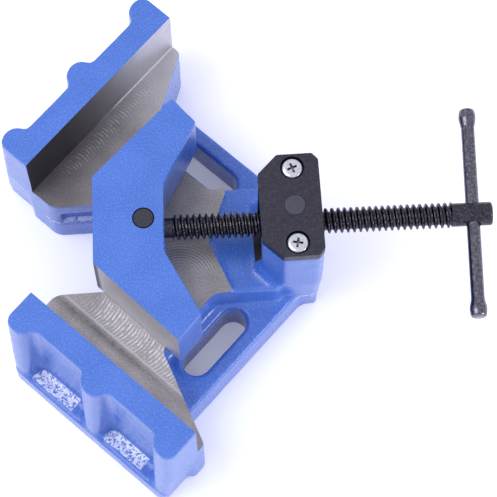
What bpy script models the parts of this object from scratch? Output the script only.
"""Corner clamp: a cast base with two fixed jaws at 90 degrees, and a V-shaped moving jaw on a screw.

Metres, +Z up. The origin is on the underside, below the axis that the swivel nut turns on. The screw
runs along X, with its handle at +X, and the clamp is symmetric about the plane Y = 0.
"""

import math

import bmesh
import bpy
from mathutils import Matrix, Vector

# Fits and facets
GAP = 0.0003                    # between pieces that touch
RUNNING_GAP = 0.0006            # round a shaft that turns or slides
TURNED_STEPS = 40               # facets round a turned piece
CORNER_STEPS = 5                # facets round a rounded corner
CUT_PAST = 0.002                # how far a cutter runs past the face it opens
SINK = 0.004                    # how far a rib or wing runs into the wall that carries it

# Fixed jaws: "along" is measured on the jaw's face from the corner, "out" away from the work
CORNER_X = -0.1677              # where the two jaw faces would meet
JAW_START = 0.0475
JAW_LENGTH = 0.110
JAW_WALL = 0.0134
JAW_TOP = 0.0792
END_DRAFT = 0.0031              # how far the ends lean in at the bottom
END_DRAFT_HEIGHT = 0.036

# Ribs and flange outside the jaws
END_RIB_WIDTH = 0.0148
MIDDLE_RIB_WIDTH = 0.0164
MIDDLE_RIB_START = 0.0474       # from the jaw's start
RIB_SLOPE = 0.0029              # how far a rib's flank leans in from the wall to its tip
RIB_REACH = 0.0201              # out from the jaw's face, at the top
RIB_FOOT_REACH = 0.0238         # the same at the flange
RIB_CORNER = 0.0054             # the flange has the same corner
FLANGE_REACH = 0.0243
FLANGE_HEIGHT = 0.013

# Floor that the moving jaw slides on
FLOOR = 0.0423
CAST_STEP = 0.001               # the rough floor by the boss lies this much lower
STEP_TIP_X = 0.0459             # in front of the nut axis, where the machined floor ends on the middle
STEP_SIDE_X = 0.0337            # the same at the floor's side
FLOOR_HALF_WIDTH = 0.0285       # of the narrow part in front of the boss
FLOOR_SHOULDER = 0.1087         # along the jaw, where the floor widens
FLOOR_SHOULDER_OUT = -0.028
FLOOR_END_OUT = -0.005
FLOOR_BOSS_GAP = 0.0023         # the narrow part ends this far in front of the boss's widest place
FLOOR_CORNER = 0.006

# Notch between the jaws, which leaves the joint open to a welder
NOTCH_END_X = -0.0917
NOTCH_HALF_WIDTH = 0.0238
NOTCH_CORNER = 0.008
RECESS_START_X = -0.1208
RECESS_DEPTH = 0.0035
RECESS_LOW = 0.0187
RECESS_HIGH = 0.0318

# Wings with the bolt slots
WING_HEIGHT = 0.024
WING_END = 0.1375               # along the jaw
WING_FILLET = 0.008
WING_FOOT = 0.0022              # height of the fillet from a wing up the boss's side
SLOT_CENTRE = 0.1218            # along the jaw
SLOT_WIDTH = 0.0146
SLOT_NEAR = -0.0313             # out from the jaw's face
SLOT_FAR = -0.0745

# Rear boss and its cover plate
BOSS_SIDE_HALF = 0.0273
BOSS_FRONT_NARROWER = 0.0098    # each side, where the boss faces the jaws
BOSS_REAR_NARROWER = 0.0036     # each side, at the back
BOSS_FRONT_HALF = BOSS_SIDE_HALF - BOSS_FRONT_NARROWER
BOSS_REAR_HALF = BOSS_SIDE_HALF - BOSS_REAR_NARROWER
BOSS_FRONT_X = -0.0176
BOSS_SIDE_START_X = -0.0075
BOSS_SIDE_END_X = 0.0103
BOSS_REAR_X = 0.0134
BOSS_CORNER = 0.0015
BOSS_DRAFT = 0.0038             # how far the sides lean in at the bottom
BOSS_TOP = 0.082
BOSS_FILLET = 0.005
FILLET_STEPS = 4
PLATE_THICKNESS = 0.006

# Swivel nut, in a channel through the boss
SCREW_AXIS = 0.0627             # height of the screw's axis
NUT_RADIUS = 0.0127
JOURNAL_RADIUS = 0.0052
JOURNAL_DEPTH = 0.011

# Cover screws, in the walls beside the nut's channel
COVER_EDGE = 0.0019             # metal left outside a head
COVER_WALL = BOSS_SIDE_HALF - NUT_RADIUS
COVER_HEAD_RADIUS = 0.3767 * COVER_WALL
COVER_SCREW_Y = BOSS_SIDE_HALF - COVER_EDGE - COVER_HEAD_RADIUS
COVER_SCREW_RADIUS = COVER_HEAD_RADIUS * 6 / 11
COVER_SCREW_LENGTH = 0.022      # below the head
COVER_HEAD_HEIGHT = 0.0034
COVER_HEAD_CROWN = 0.0012       # how far the rim lies below the top
COVER_HEAD_FLAT = 0.62 * COVER_HEAD_RADIUS          # radius of the flat top
COVER_HEAD_SHOULDER = COVER_HEAD_RADIUS - 0.0005    # radius where the crown turns down
CROSS_LENGTH = 1.02 * COVER_HEAD_RADIUS
CROSS_WIDTH = 0.0013
CROSS_DEPTH = 0.002

# Lead screw
THREAD_START_X = -0.0617
THREAD_END_X = 0.0802
THREAD_RADIUS = 0.0066
THREAD_DEPTH = 0.0018
THREAD_CREST = 0.0009
THREAD_ROOT = 0.0010
PITCH = 0.0032
THREAD_STEPS = 14               # facets in one turn
NOSE_RADIUS = 0.00515
NOSE_REACH = 0.006              # past the pivot axis, inside the moving jaw
GROOVE_RADIUS = 0.0034
HEAD_RADIUS = 0.00605
HEAD_END_X = 0.10105
HEAD_CHAMFER = 0.0007

# Tommy bar
BAR_X = 0.0913
BAR_RADIUS = 0.0035
BAR_LENGTH = 0.1123
BAR_END_RADIUS = 0.00405        # just inside the chamfer on the end
BAR_END_CHAMFER = 0.0006
BAR_BULGE_RADIUS = 0.0045
BAR_BULGE_PLACE = 0.0042        # in from the end
BAR_SWAGE = 0.0103              # length of each swaged end

# Moving jaw, measured from its pivot axis
PIVOT_X = -0.0762
MOVING_NOSE = -0.0255
MOVING_NOSE_HALF = 0.0231
MOVING_FACE_REACH = 0.0417      # how far the working face runs along X
MOVING_ARM_BACK = 0.028
MOVING_ARM_INNER = 0.0513
MOVING_BACK = 0.0102
MOVING_BACK_HALF = 0.0174
MOVING_CORNER = 0.008
MOVING_LOW = FLOOR + GAP

# Swivel barrel and its pins, inside the moving jaw
BARREL_RADIUS = 0.008
BARREL_TOP = 0.072
PIN_JOURNAL_RADIUS = 0.0050
PIN_HOLE_RADIUS = 0.0056
NOSE_WINDOW_GAP = 0.0009        # lets the jaw swivel round the nose
RETAINING_PIN_RADIUS = 0.0015
RETAINING_PIN_LENGTH = 0.027

# Colours and finishes: colour, metallic, roughness
ENAMEL = ((0.09, 0.22, 0.78), 0.0, 0.3)
BLACK_STEEL = ((0.035, 0.035, 0.042), 0.6, 0.4)
BRIGHT_STEEL = ((0.6, 0.61, 0.63), 1.0, 0.3)

# Rest pose: the nut has turned a little, the jaw a little more, and the bar lies askew in its hole
NUT_TURN = math.radians(-1.15)
JAW_TURN = math.radians(-0.75)
BAR_LEAN = math.radians(-1.4)
BAR_SLIDE = 0.0012

HALF_ANGLE = math.radians(45)   # between each jaw and the middle plane
JAW_END = JAW_START + JAW_LENGTH
JAW_FRAME = Matrix.Translation((CORNER_X, 0, 0)) @ Matrix.Rotation(HALF_ANGLE, 4, "Z")
ALONG_X = Matrix.Rotation(math.pi / 2, 4, "Y")
ALONG_Y = Matrix.Rotation(-math.pi / 2, 4, "X")


def clear_scene():
    """Start from an empty scene."""
    for obj in list(bpy.data.objects):
        bpy.data.objects.remove(obj, do_unlink=True)


def new_collection(name):
    """A collection in the scene, for the parts or for the cutters."""
    collection = bpy.data.collections.new(name)
    bpy.context.scene.collection.children.link(collection)
    return collection


def new_material(name, finish):
    """A Principled material for one piece."""
    colour, metallic, roughness = finish
    material = bpy.data.materials.new(name)
    material.use_nodes = True
    shader = material.node_tree.nodes["Principled BSDF"]
    shader.inputs["Base Color"].default_value = (*colour, 1)
    shader.inputs["Metallic"].default_value = metallic
    shader.inputs["Roughness"].default_value = roughness
    return material


def new_object(name, mesh, collection):
    """A mesh as an object in one of the collections."""
    obj = bpy.data.objects.new(name, mesh)
    collection.objects.link(obj)
    return obj


def new_axis(name, place, turn, parent, collection):
    """An empty on a vertical joint axis, turned to its rest pose."""
    axis = bpy.data.objects.new(name, None)
    axis.location = place
    axis.rotation_euler.z = turn
    axis.parent = parent
    collection.objects.link(axis)
    return axis


def finish_piece(obj, finish):
    """Give a piece its material, with its flats sharp and its rounds smooth."""
    obj.data.materials.clear()
    obj.data.materials.append(new_material(obj.name, finish))
    obj.data.shade_smooth()
    obj.data.set_sharp_from_angle(angle=math.radians(30))


def evaluated_mesh(obj):
    """The object's mesh with its modifiers, welded and facing out."""
    graph = bpy.context.evaluated_depsgraph_get()
    mesh = bpy.data.meshes.new_from_object(obj.evaluated_get(graph), depsgraph=graph)
    bm = bmesh.new()
    bm.from_mesh(mesh)
    bmesh.ops.remove_doubles(bm, verts=bm.verts, dist=1e-6)
    bmesh.ops.recalc_face_normals(bm, faces=bm.faces)
    bm.to_mesh(mesh)
    bm.free()
    return mesh


def rounded(corners):
    """An outline whose corners (x, y, radius) become arcs; a corner with no radius stays sharp."""
    points = []
    for i, corner in enumerate(corners):
        here = Vector(corner[:2])
        if len(corner) == 2:
            points.append(tuple(here))
            continue
        before = (Vector(corners[i - 1][:2]) - here).normalized()
        after = (Vector(corners[(i + 1) % len(corners)][:2]) - here).normalized()
        half = before.angle(after) / 2
        centre = here + (before + after).normalized() * corner[2] / math.sin(half)
        start = here + before * corner[2] / math.tan(half) - centre
        end = here + after * corner[2] / math.tan(half) - centre
        turn = start.angle_signed(end)
        for step in range(CORNER_STEPS + 1):
            spoke = start.copy()
            spoke.rotate(Matrix.Rotation(-turn * step / CORNER_STEPS, 2))
            points.append(tuple(centre + spoke))
    return points


def prism(name, outline, low, high, collection):
    """A flat outline made thick, from height low to height high."""
    curve = bpy.data.curves.new(name, "CURVE")
    curve.dimensions = "2D"
    curve.fill_mode = "BOTH"
    curve.extrude = (high - low) / 2
    spline = curve.splines.new("POLY")
    spline.points.add(len(outline) - 1)
    for point, (x, y) in zip(spline.points, outline):
        point.co = (x, y, 0, 1)
    spline.use_cyclic_u = True
    drawn = new_object(name + "_outline", curve, collection)
    mesh = evaluated_mesh(drawn)
    mesh.transform(Matrix.Translation((0, 0, (low + high) / 2)))
    bpy.data.objects.remove(drawn)
    return new_object(name, mesh, collection)


def lofted(name, rings, collection):
    """A closed body through outlines of equal length at rising heights, for cast walls with draft."""
    bm = bmesh.new()
    loops = []
    for outline, height in rings:
        loops.append([bm.verts.new((x, y, height)) for x, y in outline])
    for lower, upper in zip(loops, loops[1:]):
        for i in range(len(lower)):
            bm.faces.new((lower[i - 1], lower[i], upper[i], upper[i - 1]))
    bm.faces.new(loops[0])
    bm.faces.new(loops[-1])
    bmesh.ops.triangulate(bm, faces=bm.faces)
    bmesh.ops.recalc_face_normals(bm, faces=bm.faces)
    mesh = bpy.data.meshes.new(name)
    bm.to_mesh(mesh)
    bm.free()
    return new_object(name, mesh, collection)


def box(name, low, high, collection):
    """A block between two opposite corners."""
    bm = bmesh.new()
    bmesh.ops.create_cube(bm, size=1)
    size = Vector(high) - Vector(low)
    bmesh.ops.scale(bm, vec=size, verts=bm.verts)
    bmesh.ops.translate(bm, vec=Vector(low) + size / 2, verts=bm.verts)
    mesh = bpy.data.meshes.new(name)
    bm.to_mesh(mesh)
    bm.free()
    return new_object(name, mesh, collection)


def cylinder(name, radius, low, high, collection, turn=Matrix.Identity(4), place=(0, 0, 0)):
    """A round bar along Z between two heights, then turned and moved."""
    bm = bmesh.new()
    bmesh.ops.create_cone(
        bm, cap_ends=True, segments=TURNED_STEPS, radius1=radius, radius2=radius, depth=high - low
    )
    bmesh.ops.translate(bm, vec=(0, 0, (low + high) / 2), verts=bm.verts)
    mesh = bpy.data.meshes.new(name)
    bm.to_mesh(mesh)
    bm.free()
    mesh.transform(Matrix.Translation(place) @ turn)
    return new_object(name, mesh, collection)


def turned(name, profile, collection):
    """A lathe-turned piece: a half section (radius, height), listed from top to bottom."""
    mesh = bpy.data.meshes.new(name)
    vertices = [(radius, 0, height) for radius, height in profile]
    mesh.from_pydata(vertices, [(i, i + 1) for i in range(len(profile) - 1)], [])
    obj = new_object(name, mesh, collection)
    spin = obj.modifiers.new("Turn", "SCREW")
    spin.steps = spin.render_steps = TURNED_STEPS
    spin.use_merge_vertices = True
    spin.merge_threshold = 1e-5
    return obj


def use_tool(obj, tool, operation):
    """Add, cut or keep with a tool object, which is then hidden."""
    change = obj.modifiers.new(tool.name, "BOOLEAN")
    change.operation = operation
    change.solver = "EXACT"
    change.object = tool
    tool.hide_render = True
    tool.display_type = "WIRE"


def baked(obj, tools):
    """Replace an object's mesh with its finished shape, and clear away the tools that made it."""
    mesh = evaluated_mesh(obj)
    obj.modifiers.clear()
    obj.data = mesh
    for tool in tools:
        bpy.data.objects.remove(tool)


def mirrored(obj):
    """Complete a half that crosses the middle plane with its reflection in Y."""
    mirror = obj.modifiers.new("Mirror", "MIRROR")
    mirror.use_axis = (False, True, False)
    mirror.use_bisect_axis = (False, True, False)
    mirror.merge_threshold = 1e-5


def on_jaw(x, y, radius=None):
    """A place in plan, as distances along the upper jaw's face and out from it."""
    along = (x - CORNER_X) * math.cos(HALF_ANGLE) + y * math.sin(HALF_ANGLE)
    out = y * math.cos(HALF_ANGLE) - (x - CORNER_X) * math.sin(HALF_ANGLE)
    return (along, out) if radius is None else (along, out, radius)


def floor_outline():
    """Half of the block under the moving jaw, in the jaw's own axes, with the weld notch."""
    edge_x = CORNER_X + (FLOOR_SHOULDER - FLOOR_HALF_WIDTH * math.sin(HALF_ANGLE)) / math.cos(HALF_ANGLE)
    notch_x = CORNER_X + (JAW_START - NOTCH_HALF_WIDTH * math.sin(HALF_ANGLE)) / math.cos(HALF_ANGLE)
    return rounded([
        on_jaw(NOTCH_END_X, -CUT_PAST),
        on_jaw(NOTCH_END_X, NOTCH_HALF_WIDTH, NOTCH_CORNER),
        on_jaw(notch_x, NOTCH_HALF_WIDTH, NOTCH_CORNER),
        (JAW_START + GAP, SINK),
        (JAW_END - GAP, SINK),
        (JAW_END - GAP, FLOOR_END_OUT),
        (FLOOR_SHOULDER, FLOOR_SHOULDER_OUT),
        on_jaw(edge_x, FLOOR_HALF_WIDTH, FLOOR_CORNER),
        on_jaw(BOSS_SIDE_START_X - FLOOR_BOSS_GAP, FLOOR_HALF_WIDTH),
        on_jaw(BOSS_SIDE_START_X, BOSS_SIDE_HALF - BOSS_DRAFT - SINK),
        on_jaw(BOSS_SIDE_START_X, -CUT_PAST),
    ])


def boss_outline(lean):
    """Half of the boss, in plan; the sides and the rear lean in by this much."""
    return rounded([
        (BOSS_FRONT_X, -CUT_PAST),
        (BOSS_FRONT_X, BOSS_FRONT_HALF - lean, BOSS_CORNER),
        (BOSS_SIDE_START_X, BOSS_SIDE_HALF - lean, BOSS_CORNER),
        (BOSS_SIDE_END_X - lean / 2, BOSS_SIDE_HALF - lean, BOSS_CORNER),
        (BOSS_REAR_X - lean / 2, BOSS_REAR_HALF - lean, BOSS_CORNER),
        (BOSS_REAR_X - lean / 2, -CUT_PAST),
    ])


def fillet_rings():
    """Half of the fillet round the front of the boss, narrowing as it rises from the floor."""
    chamfer = Vector((BOSS_SIDE_START_X - BOSS_FRONT_X, BOSS_SIDE_HALF - BOSS_FRONT_HALF)).normalized()
    side = (FLOOR_HALF_WIDTH + BOSS_SIDE_HALF) / 2
    rings = []
    for step in range(FILLET_STEPS + 1):
        angle = math.pi / 2 * step / FILLET_STEPS
        spread = BOSS_FILLET * (1 - math.sin(angle)) + GAP / 2
        rise = BOSS_FILLET * (1 - math.cos(angle)) + FLOOR - CAST_STEP
        shift = spread * (1 - chamfer.x) / chamfer.y
        near = side - GAP * step
        along = (near - BOSS_FRONT_HALF - spread * chamfer.x) / chamfer.y
        outline = [
            (BOSS_FRONT_X - spread, -CUT_PAST),
            (BOSS_FRONT_X - spread, BOSS_FRONT_HALF + shift),
            (BOSS_FRONT_X - spread * chamfer.y + along * chamfer.x, near),
            (BOSS_SIDE_START_X + SINK, BOSS_SIDE_HALF - SINK),
            (BOSS_SIDE_START_X + SINK, -CUT_PAST),
        ]
        rings.append(([on_jaw(x, y) for x, y in outline], rise))
    foot = rings[0][0]
    return [(foot, FLOOR - CAST_STEP - SINK)] + rings


def jaw_outline(reach):
    """A fixed jaw in plan, in its own axes: the wall and three ribs, whose flanks lean in to their tips."""
    middle = JAW_START + MIDDLE_RIB_START
    return rounded([
        (JAW_END, 0),
        (JAW_START, 0),
        (JAW_START, reach, RIB_CORNER),
        (JAW_START + END_RIB_WIDTH - RIB_SLOPE, reach, RIB_CORNER),
        (JAW_START + END_RIB_WIDTH, JAW_WALL),
        (middle, JAW_WALL),
        (middle + RIB_SLOPE, reach, RIB_CORNER),
        (middle + MIDDLE_RIB_WIDTH - RIB_SLOPE, reach, RIB_CORNER),
        (middle + MIDDLE_RIB_WIDTH, JAW_WALL),
        (JAW_END - END_RIB_WIDTH, JAW_WALL),
        (JAW_END - END_RIB_WIDTH + RIB_SLOPE, reach, RIB_CORNER),
        (JAW_END, reach, RIB_CORNER),
    ])


def wing_outline():
    """Half of the low wings, in the jaw's own axes, with the fillet into the boss's side."""
    foot = BOSS_SIDE_HALF - BOSS_DRAFT - GAP
    foot_x = CORNER_X + (WING_END - foot * math.sin(HALF_ANGLE)) / math.cos(HALF_ANGLE)
    return rounded([
        (FLOOR_SHOULDER - SINK, FLOOR_END_OUT - SINK),
        (FLOOR_SHOULDER - SINK, SLOT_FAR),
        on_jaw(BOSS_SIDE_START_X, foot - SINK),
        on_jaw(foot_x + WING_FILLET, foot - SINK),
        on_jaw(foot_x + WING_FILLET, foot),
        on_jaw(foot_x, foot, WING_FILLET),
        (WING_END, FLOOR_END_OUT - SINK),
    ])


def wing_foot_rings():
    """Half of the fillet from a wing up to the boss's side, which leans out over the wing."""
    top = WING_HEIGHT + WING_FOOT
    near = BOSS_SIDE_HALF - BOSS_DRAFT - SINK
    side = BOSS_SIDE_HALF - BOSS_DRAFT * (1 - top / FLOOR) - SINK
    slope = (BOSS_SIDE_HALF + GAP - side) / WING_FOOT
    left = BOSS_SIDE_START_X - FLOOR_BOSS_GAP - SINK
    rings = []
    for height in (WING_HEIGHT - SINK, top):
        toe = side + (top - height) * slope
        corners = [(left, near), (left, toe)]
        for y in (toe, near):
            corners.append((CORNER_X + (WING_END + GAP - y * math.sin(HALF_ANGLE)) / math.cos(HALF_ANGLE), y))
        rings.append(([on_jaw(x, y) for x, y in corners], height))
    return rings


def slot_outline():
    """The bolt slot, with round ends, in the jaw's own axes."""
    radius = SLOT_WIDTH / 2
    points = []
    for centre, start in ((SLOT_NEAR - radius, 0), (SLOT_FAR + radius, math.pi)):
        for step in range(2 * CORNER_STEPS + 1):
            angle = start + math.pi * step / (2 * CORNER_STEPS)
            points.append((SLOT_CENTRE + radius * math.cos(angle), centre + radius * math.sin(angle)))
    return points


def end_draft(name, edge, lean, far, cutters):
    """A wedge that makes a jaw's end lean in towards the bottom."""
    slope = lean / END_DRAFT_HEIGHT
    rings = []
    for height in (-JAW_WALL, END_DRAFT_HEIGHT + SINK):
        plane = edge + slope * (END_DRAFT_HEIGHT - height)
        corners = [
            (far, -JAW_LENGTH / 4),
            (plane, -JAW_LENGTH / 4),
            (plane, JAW_LENGTH / 2),
            (far, JAW_LENGTH / 2),
        ]
        rings.append((corners, height))
    return lofted(name, rings, cutters)


def make_base(parts, cutters):
    """The base casting: one half is built in the upper jaw's axes, turned into place and mirrored."""
    base = prism("base_casting", floor_outline(), -CUT_PAST, FLOOR, parts)

    step_slope = (STEP_SIDE_X - STEP_TIP_X) / FLOOR_HALF_WIDTH
    outside = FLOOR_HALF_WIDTH + FLOOR_CORNER
    rough_floor = [
        on_jaw(-STEP_TIP_X - step_slope * -CUT_PAST, -CUT_PAST),
        on_jaw(-STEP_TIP_X - step_slope * outside, outside),
        on_jaw(BOSS_REAR_X, outside),
        on_jaw(BOSS_REAR_X, -CUT_PAST),
    ]
    jaw_rings = [
        (jaw_outline(RIB_FOOT_REACH), -2 * CUT_PAST),
        (jaw_outline(RIB_FOOT_REACH), FLANGE_HEIGHT - SINK),
        (jaw_outline(RIB_REACH), JAW_TOP),
    ]
    steps = [
        (prism("rough_floor", rough_floor, FLOOR - CAST_STEP, FLOOR + SINK, cutters), "DIFFERENCE"),
        (lofted("fixed_jaw", jaw_rings, cutters), "UNION"),
    ]

    flange = rounded([
        (JAW_START + GAP, SINK),
        (JAW_END - GAP, SINK),
        (JAW_END - GAP, FLANGE_REACH, RIB_CORNER),
        (JAW_START + GAP, FLANGE_REACH, RIB_CORNER),
    ])
    steps.append((prism("flange", flange, -3 * CUT_PAST, FLANGE_HEIGHT, cutters), "UNION"))
    steps.append((prism("wing", wing_outline(), -4 * CUT_PAST, WING_HEIGHT, cutters), "UNION"))

    boss_rings = []
    for lean, height in ((BOSS_DRAFT, -5 * CUT_PAST), (BOSS_DRAFT, 0), (0, FLOOR), (0, BOSS_TOP)):
        boss_rings.append(([on_jaw(x, y) for x, y in boss_outline(lean)], height))
    steps.append((lofted("boss", boss_rings, cutters), "UNION"))
    steps.append((lofted("boss_fillet", fillet_rings(), cutters), "UNION"))
    steps.append((lofted("wing_foot", wing_foot_rings(), cutters), "UNION"))

    slot = prism("bolt_slot", slot_outline(), -SINK - 4 * CUT_PAST, WING_HEIGHT + CUT_PAST, cutters)
    steps.append((slot, "DIFFERENCE"))
    recess = rounded([
        on_jaw(RECESS_START_X, -CUT_PAST),
        on_jaw(RECESS_START_X, NOTCH_HALF_WIDTH + RECESS_DEPTH),
        on_jaw(NOTCH_END_X + RECESS_DEPTH, NOTCH_HALF_WIDTH + RECESS_DEPTH, NOTCH_CORNER + RECESS_DEPTH),
        on_jaw(NOTCH_END_X + RECESS_DEPTH, -CUT_PAST),
    ])
    steps.append((prism("notch_recess", recess, RECESS_LOW, RECESS_HIGH, cutters), "DIFFERENCE"))

    screw_hole = cylinder(
        "screw_hole", COVER_SCREW_RADIUS + GAP, plate_screw_end() - GAP, BOSS_TOP + CUT_PAST, cutters,
        place=(*on_jaw(0, COVER_SCREW_Y), 0),
    )
    steps.append((screw_hole, "DIFFERENCE"))
    near_end = end_draft("near_end_draft", JAW_START, END_DRAFT, 0, cutters)
    far_end = end_draft("far_end_draft", JAW_END, -END_DRAFT, JAW_END + JAW_START, cutters)
    below = box("below", (-JAW_END, -JAW_END, -2 * JAW_WALL), (2 * JAW_END, JAW_END, 0), cutters)
    steps += [(near_end, "DIFFERENCE"), (far_end, "DIFFERENCE"), (below, "DIFFERENCE")]

    for tool, operation in steps:
        use_tool(base, tool, operation)
    baked(base, [tool for tool, operation in steps])
    base.data.transform(JAW_FRAME)
    mirrored(base)

    half_channel = NUT_RADIUS + GAP
    channel = box(
        "channel",
        (BOSS_FRONT_X - 2 * BOSS_FILLET, -half_channel, FLOOR),
        (BOSS_REAR_X + CUT_PAST, half_channel, BOSS_TOP + CUT_PAST),
        cutters,
    )
    journal_hole = cylinder(
        "journal_hole", JOURNAL_RADIUS + RUNNING_GAP / 2, FLOOR - JOURNAL_DEPTH - GAP, FLOOR + CUT_PAST, cutters
    )
    use_tool(base, channel, "DIFFERENCE")
    use_tool(base, journal_hole, "DIFFERENCE")
    finish_piece(base, ENAMEL)


def plate_low():
    """Height of the cover plate's underside."""
    return BOSS_TOP + GAP


def plate_screw_end():
    """Height of the cover screws' lower ends."""
    return plate_low() + PLATE_THICKNESS - COVER_HEAD_HEIGHT - COVER_SCREW_LENGTH


def make_plate(parts, cutters):
    """The cover plate, with the nut's journal hole and a counterbore for each screw."""
    plate = prism("cover_plate", boss_outline(0), 0, PLATE_THICKNESS, parts)
    plate.location.z = plate_low()
    mirrored(plate)
    seat = PLATE_THICKNESS - COVER_HEAD_HEIGHT - GAP
    tools = [cylinder(
        "plate_journal_hole", JOURNAL_RADIUS + RUNNING_GAP / 2, -CUT_PAST, PLATE_THICKNESS + CUT_PAST, cutters
    )]
    for side in (-1, 1):
        place = (0, side * COVER_SCREW_Y, 0)
        tools.append(cylinder(
            "counterbore", COVER_HEAD_RADIUS + 2 * GAP, seat, PLATE_THICKNESS + CUT_PAST, cutters, place=place
        ))
        tools.append(cylinder(
            "shank_hole", COVER_SCREW_RADIUS + GAP, -CUT_PAST, seat + CUT_PAST / 2, cutters, place=place
        ))
    for tool in tools:
        tool.location.z = plate_low()
        use_tool(plate, tool, "DIFFERENCE")
    finish_piece(plate, BLACK_STEEL)


def make_cover_screw(name, y, parts, cutters):
    """A pan-headed screw with a cross recess; its origin is under the head."""
    screw = turned(name, [
        (0, COVER_HEAD_HEIGHT),
        (COVER_HEAD_FLAT, COVER_HEAD_HEIGHT),
        (COVER_HEAD_SHOULDER, COVER_HEAD_HEIGHT - COVER_HEAD_CROWN / 2),
        (COVER_HEAD_RADIUS, COVER_HEAD_HEIGHT - COVER_HEAD_CROWN),
        (COVER_HEAD_RADIUS, 0),
        (COVER_SCREW_RADIUS, 0),
        (COVER_SCREW_RADIUS, -COVER_SCREW_LENGTH + COVER_SCREW_RADIUS / 2),
        (COVER_SCREW_RADIUS / 2, -COVER_SCREW_LENGTH),
        (0, -COVER_SCREW_LENGTH),
    ], parts)
    screw.location = (0, y, plate_low() + PLATE_THICKNESS - COVER_HEAD_HEIGHT)
    for length, width in ((CROSS_LENGTH, CROSS_WIDTH), (CROSS_WIDTH, CROSS_LENGTH)):
        low = (-length / 2, -width / 2, COVER_HEAD_HEIGHT - CROSS_DEPTH)
        high = (length / 2, width / 2, COVER_HEAD_HEIGHT + CUT_PAST)
        arm = box(name + "_cross", low, high, cutters)
        arm.location = screw.location
        use_tool(screw, arm, "DIFFERENCE")
    finish_piece(screw, BRIGHT_STEEL)


def make_nut(swivel, parts, cutters):
    """The swivel nut: a round body with a journal at each end, bored along X for the screw."""
    body_low = FLOOR + GAP
    nut = turned("swivel_nut", [
        (0, plate_low() + PLATE_THICKNESS),
        (JOURNAL_RADIUS, plate_low() + PLATE_THICKNESS),
        (JOURNAL_RADIUS, BOSS_TOP),
        (NUT_RADIUS, BOSS_TOP),
        (NUT_RADIUS, body_low),
        (JOURNAL_RADIUS, body_low),
        (JOURNAL_RADIUS, FLOOR - JOURNAL_DEPTH),
        (0, FLOOR - JOURNAL_DEPTH),
    ], parts)
    bore = cylinder(
        "nut_bore", THREAD_RADIUS + GAP, -2 * NUT_RADIUS, 2 * NUT_RADIUS, cutters,
        turn=ALONG_X, place=(0, 0, SCREW_AXIS),
    )
    nut.parent = bore.parent = swivel
    use_tool(nut, bore, "DIFFERENCE")
    finish_piece(nut, BLACK_STEEL)


def thread_rod(name, low, high, collection):
    """A right-handed thread along Z, cut off square at both ends."""
    flank = (PITCH - THREAD_CREST - THREAD_ROOT) / 2
    core = THREAD_RADIUS - THREAD_DEPTH
    section = [
        (core, 0, PITCH),
        (core, 0, PITCH - THREAD_ROOT),
        (THREAD_RADIUS, 0, PITCH - THREAD_ROOT - flank),
        (THREAD_RADIUS, 0, flank),
        (core, 0, 0),
    ]
    mesh = bpy.data.meshes.new(name)
    mesh.from_pydata(section, [(i, i + 1) for i in range(len(section) - 1)], [])
    rod = new_object(name, mesh, collection)
    rod.location.z = low - 2 * PITCH
    helix = rod.modifiers.new("Thread", "SCREW")
    helix.screw_offset = PITCH
    helix.iterations = math.ceil((high - low) / PITCH) + 3
    helix.steps = helix.render_steps = THREAD_STEPS
    helix.use_merge_vertices = True
    helix.merge_threshold = 1e-5
    threaded = evaluated_mesh(rod)
    threaded.transform(Matrix.Translation(rod.location))
    rod.modifiers.clear()
    rod.location.z = 0
    rod.data = threaded
    bm = bmesh.new()
    bm.from_mesh(threaded)
    for height, normal in ((low, -1), (high, 1)):
        everything = bm.verts[:] + bm.edges[:] + bm.faces[:]
        bmesh.ops.bisect_plane(
            bm, geom=everything, plane_co=(0, 0, height), plane_no=(0, 0, normal), clear_outer=True
        )
    bmesh.ops.remove_doubles(bm, verts=bm.verts, dist=1e-6)
    bmesh.ops.holes_fill(bm, edges=[edge for edge in bm.edges if edge.is_boundary])
    bmesh.ops.recalc_face_normals(bm, faces=bm.faces)
    bm.to_mesh(threaded)
    bm.free()
    return rod


def make_lead_screw(swivel, parts, cutters):
    """The lead screw along X: grooved nose, thread, and a plain head with a cross hole."""
    nose_end = PIVOT_X - NOSE_REACH
    groove = RETAINING_PIN_RADIUS + GAP
    core = THREAD_RADIUS - THREAD_DEPTH - GAP
    screw = turned("lead_screw", [
        (0, HEAD_END_X),
        (HEAD_RADIUS - HEAD_CHAMFER, HEAD_END_X),
        (HEAD_RADIUS, HEAD_END_X - HEAD_CHAMFER),
        (HEAD_RADIUS, THREAD_END_X),
        (core, THREAD_END_X - GAP),
        (core, THREAD_START_X + GAP),
        (NOSE_RADIUS, THREAD_START_X),
        (NOSE_RADIUS, PIVOT_X + groove),
        (GROOVE_RADIUS, PIVOT_X + groove),
        (GROOVE_RADIUS, PIVOT_X - groove),
        (NOSE_RADIUS, PIVOT_X - groove),
        (NOSE_RADIUS, nose_end + HEAD_CHAMFER),
        (NOSE_RADIUS - HEAD_CHAMFER, nose_end),
        (0, nose_end),
    ], parts)
    thread = thread_rod("thread", THREAD_START_X - GAP, THREAD_END_X + GAP, cutters)
    use_tool(screw, thread, "UNION")
    hole = cylinder(
        "bar_hole", BAR_RADIUS + GAP, -2 * HEAD_RADIUS, 2 * HEAD_RADIUS, cutters,
        turn=ALONG_Y, place=(0, 0, BAR_X),
    )
    use_tool(screw, hole, "DIFFERENCE")
    baked(screw, [thread, hole])
    screw.parent = swivel
    screw.matrix_basis = Matrix.Translation((0, 0, SCREW_AXIS)) @ ALONG_X
    finish_piece(screw, BLACK_STEEL)


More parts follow.
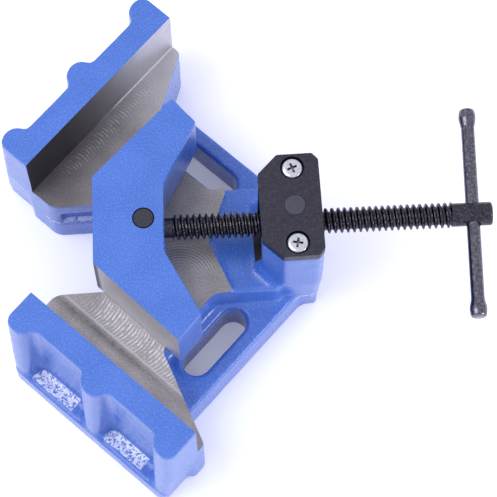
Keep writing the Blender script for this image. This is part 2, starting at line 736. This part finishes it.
def make_bar(swivel, parts):
    """The tommy bar along Y, swaged to a small barrel at each end."""
    half = BAR_LENGTH / 2
    end = [
        (0, half),
        (BAR_END_RADIUS - BAR_END_CHAMFER, half),
        (BAR_END_RADIUS, half - BAR_END_CHAMFER),
        (BAR_BULGE_RADIUS, half - BAR_BULGE_PLACE),
        ((BAR_BULGE_RADIUS + BAR_RADIUS) / 2, half - (BAR_BULGE_PLACE + BAR_SWAGE) / 2),
        (BAR_RADIUS, half - BAR_SWAGE),
    ]
    bar = turned("tommy_bar", end + [(radius, -height) for radius, height in reversed(end)], parts)
    bar.parent = swivel
    lean = Matrix.Rotation(BAR_LEAN, 4, "Z") @ Matrix.Translation((0, BAR_SLIDE, 0))
    bar.matrix_basis = Matrix.Translation((BAR_X, 0, SCREW_AXIS)) @ lean @ ALONG_Y
    finish_piece(bar, BLACK_STEEL)


def make_moving_jaw(pivot, parts, cutters):
    """The V-shaped moving jaw; its origin is on the pivot axis, at its underside."""
    face_end = MOVING_NOSE + MOVING_FACE_REACH
    face_half = MOVING_NOSE_HALF + MOVING_FACE_REACH * math.tan(HALF_ANGLE)
    outline = rounded([
        (MOVING_NOSE, -CUT_PAST),
        (MOVING_NOSE, MOVING_NOSE_HALF),
        (face_end, face_half),
        (MOVING_ARM_BACK, MOVING_ARM_INNER),
        (MOVING_BACK, MOVING_BACK_HALF, MOVING_CORNER),
        (MOVING_BACK, -CUT_PAST),
    ])
    jaw = prism("moving_jaw", outline, 0, JAW_TOP - MOVING_LOW, parts)
    jaw.location.z = MOVING_LOW
    jaw.parent = pivot
    mirrored(jaw)
    barrel_room = BARREL_RADIUS + RUNNING_GAP / 2
    barrel_rise = BARREL_TOP + GAP - MOVING_LOW
    tools = [
        cylinder("barrel_bore", barrel_room, -CUT_PAST, barrel_rise, cutters),
        cylinder("pin_hole", PIN_HOLE_RADIUS, barrel_rise - GAP, JAW_TOP, cutters),
        cylinder(
            "nose_window", NOSE_RADIUS + NOSE_WINDOW_GAP, 0, MOVING_BACK + CUT_PAST, cutters,
            turn=ALONG_X, place=(0, 0, SCREW_AXIS - MOVING_LOW),
        ),
    ]
    for tool in tools:
        tool.location.z = MOVING_LOW
        tool.parent = pivot
        use_tool(jaw, tool, "DIFFERENCE")
    finish_piece(jaw, ENAMEL)


def make_barrel(swivel, parts, cutters):
    """The swivel barrel inside the moving jaw, with the nose's bore and two holes for the pins."""
    barrel = turned("swivel_barrel", [
        (0, JAW_TOP),
        (PIN_JOURNAL_RADIUS, JAW_TOP),
        (PIN_JOURNAL_RADIUS, BARREL_TOP),
        (BARREL_RADIUS, BARREL_TOP),
        (BARREL_RADIUS, MOVING_LOW),
        (0, MOVING_LOW),
    ], parts)
    barrel.location.x = PIVOT_X
    barrel.parent = swivel
    tools = [cylinder(
        "nose_bore", NOSE_RADIUS + GAP, -NOSE_REACH - GAP, 2 * BARREL_RADIUS, cutters,
        turn=ALONG_X, place=(0, 0, SCREW_AXIS),
    )]
    for side in (-1, 1):
        tools.append(cylinder(
            "retaining_hole", RETAINING_PIN_RADIUS + GAP, 0, MOVING_LOW + RETAINING_PIN_LENGTH + 2 * GAP,
            cutters, place=(0, side * retaining_y(), 0),
        ))
    for tool in tools:
        tool.location.x = PIVOT_X
        tool.parent = swivel
        use_tool(barrel, tool, "DIFFERENCE")
    finish_piece(barrel, BLACK_STEEL)


def retaining_y():
    """How far each retaining pin stands from the screw's axis, clear of the groove's bottom."""
    return GROOVE_RADIUS + RETAINING_PIN_RADIUS + GAP


def make_retaining_pin(name, side, swivel, parts):
    """One of the two pins in the barrel that run in the nose's groove."""
    pin = cylinder(name, RETAINING_PIN_RADIUS, 0, RETAINING_PIN_LENGTH, parts)
    pin.location = (PIVOT_X, side * retaining_y(), MOVING_LOW + GAP)
    pin.parent = swivel
    finish_piece(pin, BRIGHT_STEEL)


def main():
    clear_scene()
    parts = new_collection("corner_clamp")
    cutters = new_collection("cutters")
    make_base(parts, cutters)
    make_plate(parts, cutters)
    make_cover_screw("cover_screw_a", COVER_SCREW_Y, parts, cutters)
    make_cover_screw("cover_screw_b", -COVER_SCREW_Y, parts, cutters)
    swivel = new_axis("swivel_axis", (0, 0, 0), NUT_TURN, None, parts)
    pivot = new_axis("pivot_axis", (PIVOT_X, 0, 0), JAW_TURN, swivel, parts)
    make_nut(swivel, parts, cutters)
    make_lead_screw(swivel, parts, cutters)
    make_bar(swivel, parts)
    make_barrel(swivel, parts, cutters)
    make_retaining_pin("retaining_pin_a", 1, swivel, parts)
    make_retaining_pin("retaining_pin_b", -1, swivel, parts)
    make_moving_jaw(pivot, parts, cutters)


main()
